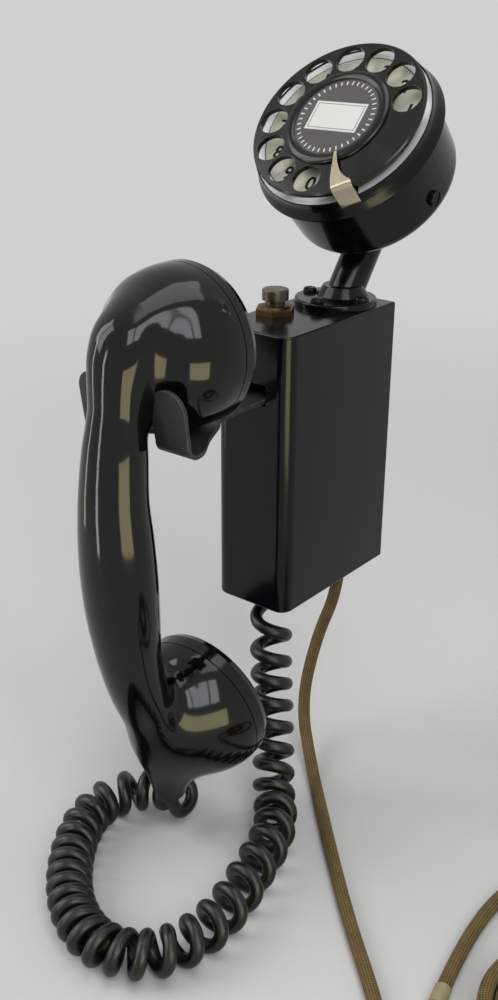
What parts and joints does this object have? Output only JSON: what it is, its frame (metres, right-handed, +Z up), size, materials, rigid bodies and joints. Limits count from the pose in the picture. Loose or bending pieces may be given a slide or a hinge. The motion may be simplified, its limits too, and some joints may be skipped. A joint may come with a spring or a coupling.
{
  "type": "dial telephone",
  "caption": "Black dial telephone for a desk side: narrow steel case, tilted dial on a short neck, push button, hook fork with a hanging handset, curly cord and cloth line cord.",
  "frame": {"origin": "middle of the back plate, on the face that rests against the desk or post", "axes": "+X along the case's width, to the right for someone facing it; +Y into the desk or post, away from the user; +Z up"},
  "size_m": [0.2734, 0.2484, 0.3231],
  "materials": {
    "black_enamel": "satin black stove enamel",
    "grey_enamel": "dull dark grey paint",
    "wheel_enamel": "satin black",
    "white_enamel": "glossy white vitreous enamel with dark figures",
    "black_moulding": "polished black phenolic moulding",
    "brown_moulding": "polished brown phenolic moulding",
    "nickel": "bright nickel plate",
    "brass": "turned brass",
    "spring_bronze": "rolled phosphor bronze",
    "zinc_steel": "zinc plated pressed steel",
    "screw_steel": "blackened turned steel",
    "fibre": "red vulcanised fibre",
    "card_paper": "matt printed card",
    "clear_window": "clear celluloid",
    "black_rubber": "matt black rubber",
    "cord_rubber": "matt black",
    "cord_cloth": "braided brown cotton",
    "linen_tape": "woven tape"
  },
  "bodies": {
    "case": {"case_cover": "black_enamel", "back_plate": "zinc_steel", "cover_screws": "screw_steel", "hook_bracket": "zinc_steel", "bracket_rivets": "zinc_steel", "hook_pivot_pin": "screw_steel", "hook_spring": "zinc_steel", "switch_springs": "spring_bronze", "switch_insulators": "fibre", "switch_screws": "screw_steel", "terminal_block": "black_moulding", "terminal_screws": "brass", "button_bushing": "brass", "button_nut": "brass", "button_spring": "zinc_steel", "button_block": "fibre", "button_contacts": "spring_bronze", "curly_cord_grommet": "black_rubber", "line_cord_grommet": "black_rubber", "dial_arm": "black_enamel", "flange_screws": "screw_steel", "flange_nuts": "zinc_steel", "dial_cup": "black_enamel", "arm_ring_nut": "brass", "cup_clamp_screw": "screw_steel", "bezel_ring": "black_enamel", "number_plate": "white_enamel", "finger_stop": "nickel", "finger_stop_screws": "nickel", "dial_chassis": "zinc_steel", "chassis_screws": "screw_steel", "dial_rear_plate": "zinc_steel", "dial_pillars": "brass", "dial_main_spring": "zinc_steel", "governor_drum": "brass", "impulse_block": "fibre", "impulse_springs": "spring_bronze", "curly_cord": "cord_rubber", "line_cord": "cord_cloth", "line_cord_coil": "cord_cloth", "line_cord_tail": "cord_cloth", "cord_fittings": "linen_tape"},
    "hook": {"cradle_fork": "grey_enamel", "hook_roller": "fibre", "roller_pin": "screw_steel"},
    "button": {"button_plunger": "brown_moulding"},
    "finger_wheel": {"finger_wheel": "wheel_enamel", "wheel_screw": "wheel_enamel", "card_ring": "wheel_enamel", "dial_card": "card_paper", "card_window": "clear_window", "main_shaft": "brass"},
    "pinion": {"pinion": "brass"},
    "governor": {"governor": "brass"},
    "handset": {"handset_body": "black_moulding", "handset_bushing": "black_rubber", "receiver_cap": "black_moulding", "transmitter_cap": "black_moulding", "receiver_unit": "zinc_steel", "transmitter_unit": "zinc_steel"}
  },
  "joints": [
    {"name": "dial_turn", "type": "hinge", "parent": "case", "child": "finger_wheel", "pos_m": [0, -0.0225, 0.1391], "axis": [0, 0.7206, -0.6934], "range_deg": [0, 320], "stiffness_Nm_per_rad": 0.02, "springref_deg": -57.3},
    {"name": "pinion_turn", "type": "hinge", "parent": "case", "child": "pinion", "pos_m": [-0.00382, -0.00747, 0.15471], "axis": [0, 0.7206, -0.6934], "range_deg": [-1440.5, 0]},
    {"name": "governor_turn", "type": "hinge", "parent": "case", "child": "governor", "pos_m": [-0.01886, -0.01127, 0.15077], "axis": [0, 0.7206, -0.6934], "range_deg": [0, 4321]},
    {"name": "handset_lift", "type": "slide", "parent": "case", "child": "handset", "axis": [0, 0, 1], "range_m": [0, 0.04]},
    {"name": "hook_rise", "type": "hinge", "parent": "case", "child": "hook", "pos_m": [0, -0.045, 0.0336], "axis": [-1, 0, 0], "range_deg": [0, 8.01], "deforming": ["hook_spring"]},
    {"name": "button_press", "type": "slide", "parent": "case", "child": "button", "axis": [0, 0, -1], "range_m": [0, 0.0017], "stiffness_N_per_m": 400, "springref_m": -0.003, "deforming": ["button_spring"]}
  ],
  "couplings": [
    {"joint": "pinion_turn", "follows": "dial_turn", "ratio": -4.5},
    {"joint": "governor_turn", "follows": "dial_turn", "ratio": 13.5},
    {"joint": "hook_rise", "follows": "handset_lift", "rad_per_m": 3.4907}
  ]
}
